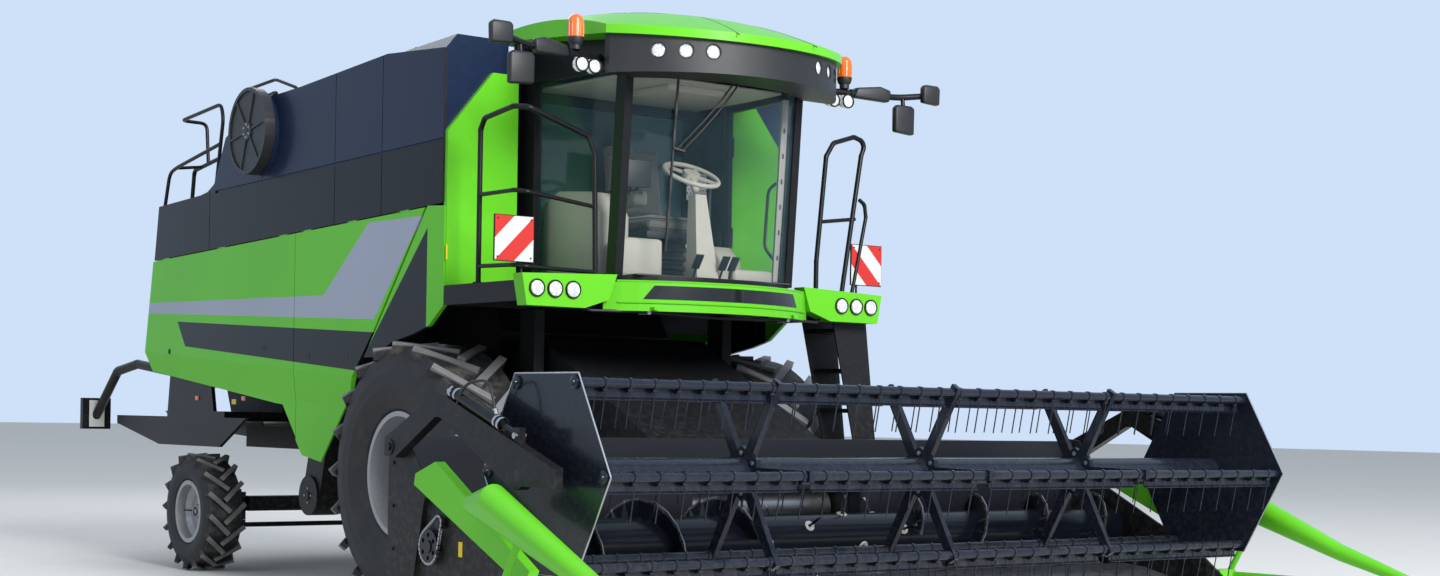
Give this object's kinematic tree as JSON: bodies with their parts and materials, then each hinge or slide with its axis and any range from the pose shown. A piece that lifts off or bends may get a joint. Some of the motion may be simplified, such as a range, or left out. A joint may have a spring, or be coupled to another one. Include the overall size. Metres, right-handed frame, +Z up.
{
  "type": "combine harvester",
  "caption": "Self-propelled combine harvester with a grain header, tine reel, glazed cab, grain tank and a folded unloading tube.",
  "frame": {"origin": "on the ground under the middle of the overall length, on the machine's centre line", "axes": "+X to the machine's left, -Y forwards, +Z up"},
  "size_m": [5.93, 11.1, 4.049],
  "materials": {
    "green_paint": "gloss",
    "navy_paint": "gloss",
    "dark_paint": "satin",
    "black_paint": "satin",
    "black_plastic": "gloss",
    "trim_plastic": "matte",
    "seat_cloth": "matte",
    "lamp_glass": "gloss",
    "amber_plastic": "gloss",
    "clear_glass": "gloss",
    "rim_paint": "satin",
    "tyre_rubber": "matte",
    "bare_steel": "satin",
    "cast_engine": "matte"
  },
  "bodies": {
    "root": {"chassis_frame": "dark_paint", "threshing_housing": "dark_paint", "front_axle": "dark_paint", "rear_axle_beam": "dark_paint", "grain_tank": "navy_paint", "engine_deck": "navy_paint", "engine_block": "cast_engine", "straw_hood": "dark_paint", "straw_chopper": "black_paint", "body_front_wall": "green_paint", "platform": "dark_paint", "ladder": "dark_paint", "handrails": "black_paint", "cab_frame": "black_paint", "cab_roof": "green_paint", "roof_visor": "black_plastic", "windscreen": "clear_glass", "cab_glass": "clear_glass", "cab_seat": "seat_cloth", "steering_column": "trim_plastic", "front_bumper": "green_paint", "work_lights": "lamp_glass", "beacons": "amber_plastic", "mirrors": "black_plastic"},
    "header": {"feeder_house": "dark_paint", "feeder_conveyor": "bare_steel", "header_trough": "dark_paint", "header_sides": "dark_paint", "crop_dividers": "green_paint", "cutterbar": "bare_steel"},
    "auger": {"header_auger": "navy_paint"},
    "reel_frame": {"reel_arms": "dark_paint"},
    "reel": {"reel_hub": "navy_paint"},
    "bar_1": {"tine_bar_1": "dark_paint"},
    "bar_2": {"tine_bar_2": "dark_paint"},
    "bar_3": {"tine_bar_3": "dark_paint"},
    "bar_4": {"tine_bar_4": "dark_paint"},
    "bar_5": {"tine_bar_5": "dark_paint"},
    "bar_6": {"tine_bar_6": "dark_paint"},
    "front_wheel_right": {"front_tyre_right": "tyre_rubber", "front_rim_right": "rim_paint"},
    "knuckle_right": {"rear_knuckle_right": "dark_paint"},
    "rear_wheel_right": {"rear_tyre_right": "tyre_rubber", "rear_rim_right": "rim_paint"},
    "front_wheel_left": {"front_tyre_left": "tyre_rubber", "front_rim_left": "rim_paint"},
    "knuckle_left": {"rear_knuckle_left": "dark_paint"},
    "rear_wheel_left": {"rear_tyre_left": "tyre_rubber", "rear_rim_left": "rim_paint"},
    "tie_rod": {"tie_rod": "dark_paint"},
    "door": {"cab_door": "black_paint", "cab_door_glass": "clear_glass"},
    "panel_front_right": {"panel_front_right": "green_paint"},
    "panel_front_left": {"panel_front_left": "green_paint"},
    "panel_rear_right": {"panel_rear_right": "green_paint"},
    "panel_rear_left": {"panel_rear_left": "green_paint"},
    "unloader": {"unloading_auger": "navy_paint"},
    "screen": {"rotary_screen": "black_paint"},
    "lid_right": {"tank_lid_right": "navy_paint"},
    "lid_left": {"tank_lid_left": "navy_paint"}
  },
  "joints": [
    {"name": "header_lift", "type": "hinge", "parent": "root", "child": "header", "pos_m": [0, -0.8, 1.56], "axis": [-1, 0, 0], "range_deg": [-3, 18]},
    {"name": "auger_spin", "type": "hinge", "parent": "header", "child": "auger", "pos_m": [0, -3, 0.6], "axis": [-1, 0, 0], "continuous": true},
    {"name": "reel_lift", "type": "hinge", "parent": "header", "child": "reel_frame", "pos_m": [0, -2.61, 1.13], "axis": [-1, 0, 0], "range_deg": [0, 22]},
    {"name": "reel_spin", "type": "hinge", "parent": "reel_frame", "child": "reel", "pos_m": [0, -3.92, 1.02], "axis": [1, 0, 0], "continuous": true},
    {"name": "bar_1_swing", "type": "hinge", "parent": "reel", "child": "bar_1", "pos_m": [0, -3.38, 1.02], "axis": [1, 0, 0], "continuous": true},
    {"name": "bar_2_swing", "type": "hinge", "parent": "reel", "child": "bar_2", "pos_m": [0, -3.65, 1.48765], "axis": [1, 0, 0], "continuous": true},
    {"name": "bar_3_swing", "type": "hinge", "parent": "reel", "child": "bar_3", "pos_m": [0, -4.19, 1.48765], "axis": [1, 0, 0], "continuous": true},
    {"name": "bar_4_swing", "type": "hinge", "parent": "reel", "child": "bar_4", "pos_m": [0, -4.46, 1.02], "axis": [1, 0, 0], "continuous": true},
    {"name": "bar_5_swing", "type": "hinge", "parent": "reel", "child": "bar_5", "pos_m": [0, -4.19, 0.55235], "axis": [1, 0, 0], "continuous": true},
    {"name": "bar_6_swing", "type": "hinge", "parent": "reel", "child": "bar_6", "pos_m": [0, -3.65, 0.55235], "axis": [1, 0, 0], "continuous": true},
    {"name": "front_wheel_right_spin", "type": "hinge", "parent": "root", "child": "front_wheel_right", "pos_m": [-1.307, -0.5, 0.9], "axis": [1, 0, 0], "continuous": true},
    {"name": "front_wheel_left_spin", "type": "hinge", "parent": "root", "child": "front_wheel_left", "pos_m": [1.307, -0.5, 0.9], "axis": [1, 0, 0], "continuous": true},
    {"name": "steer_right", "type": "hinge", "parent": "root", "child": "knuckle_right", "pos_m": [-1.02, 3.2, 0.48], "axis": [0, 0, 1], "range_deg": [-40, 40]},
    {"name": "rear_wheel_right_spin", "type": "hinge", "parent": "knuckle_right", "child": "rear_wheel_right", "pos_m": [-1.32, 3.2, 0.48], "axis": [1, 0, 0], "continuous": true},
    {"name": "steer_left", "type": "hinge", "parent": "root", "child": "knuckle_left", "pos_m": [1.02, 3.2, 0.48], "axis": [0, 0, 1], "range_deg": [-40, 40]},
    {"name": "rear_wheel_left_spin", "type": "hinge", "parent": "knuckle_left", "child": "rear_wheel_left", "pos_m": [1.32, 3.2, 0.48], "axis": [1, 0, 0], "continuous": true},
    {"name": "tie_rod_swing", "type": "hinge", "parent": "knuckle_right", "child": "tie_rod", "pos_m": [-1.02, 3.42, 0.35], "axis": [0, 0, 1], "range_deg": [-40, 40]},
    {"name": "door_swing", "type": "hinge", "parent": "root", "child": "door", "pos_m": [0.84086, -0.9965, 2.9], "axis": [0, 0, 1], "range_deg": [0, 80]},
    {"name": "panel_front_right_lift", "type": "hinge", "parent": "root", "child": "panel_front_right", "pos_m": [-1.47, 0.4, 2.66523], "axis": [0, 0.9995, -0.0303], "range_deg": [0, 85]},
    {"name": "panel_front_left_lift", "type": "hinge", "parent": "root", "child": "panel_front_left", "pos_m": [1.47, 0.4, 2.66523], "axis": [0, -0.9995, 0.0303], "range_deg": [0, 85]},
    {"name": "panel_rear_right_lift", "type": "hinge", "parent": "root", "child": "panel_rear_right", "pos_m": [-1.47, 2.6, 2.59861], "axis": [0, 0.9995, -0.0303], "range_deg": [0, 85]},
    {"name": "panel_rear_left_lift", "type": "hinge", "parent": "root", "child": "panel_rear_left", "pos_m": [1.47, 2.6, 2.59861], "axis": [0, -0.9995, 0.0303], "range_deg": [0, 85]},
    {"name": "unloader_swing", "type": "hinge", "parent": "root", "child": "unloader", "pos_m": [1.285, -0.2, 3.34], "axis": [0, 0, -1], "range_deg": [0, 100]},
    {"name": "screen_spin", "type": "hinge", "parent": "root", "child": "screen", "pos_m": [-1.5, 1.914, 3.445], "axis": [1, 0, 0], "continuous": true},
    {"name": "lid_right_lift", "type": "hinge", "parent": "root", "child": "lid_right", "pos_m": [-1.348, -0.41, 3.82425], "axis": [0, -0.9985, 0.0549], "range_deg": [0, 100]},
    {"name": "lid_left_lift", "type": "hinge", "parent": "root", "child": "lid_left", "pos_m": [0.978, -0.41, 3.82425], "axis": [0, 0.9985, -0.0549], "range_deg": [0, 100]}
  ],
  "couplings": [
    {"joint": "bar_1_swing", "follows": "reel_spin", "ratio": -1},
    {"joint": "bar_2_swing", "follows": "reel_spin", "ratio": -1},
    {"joint": "bar_3_swing", "follows": "reel_spin", "ratio": -1},
    {"joint": "bar_4_swing", "follows": "reel_spin", "ratio": -1},
    {"joint": "bar_5_swing", "follows": "reel_spin", "ratio": -1},
    {"joint": "bar_6_swing", "follows": "reel_spin", "ratio": -1},
    {"joint": "steer_left", "follows": "steer_right", "ratio": 1},
    {"joint": "tie_rod_swing", "follows": "steer_right", "ratio": -1}
  ]
}
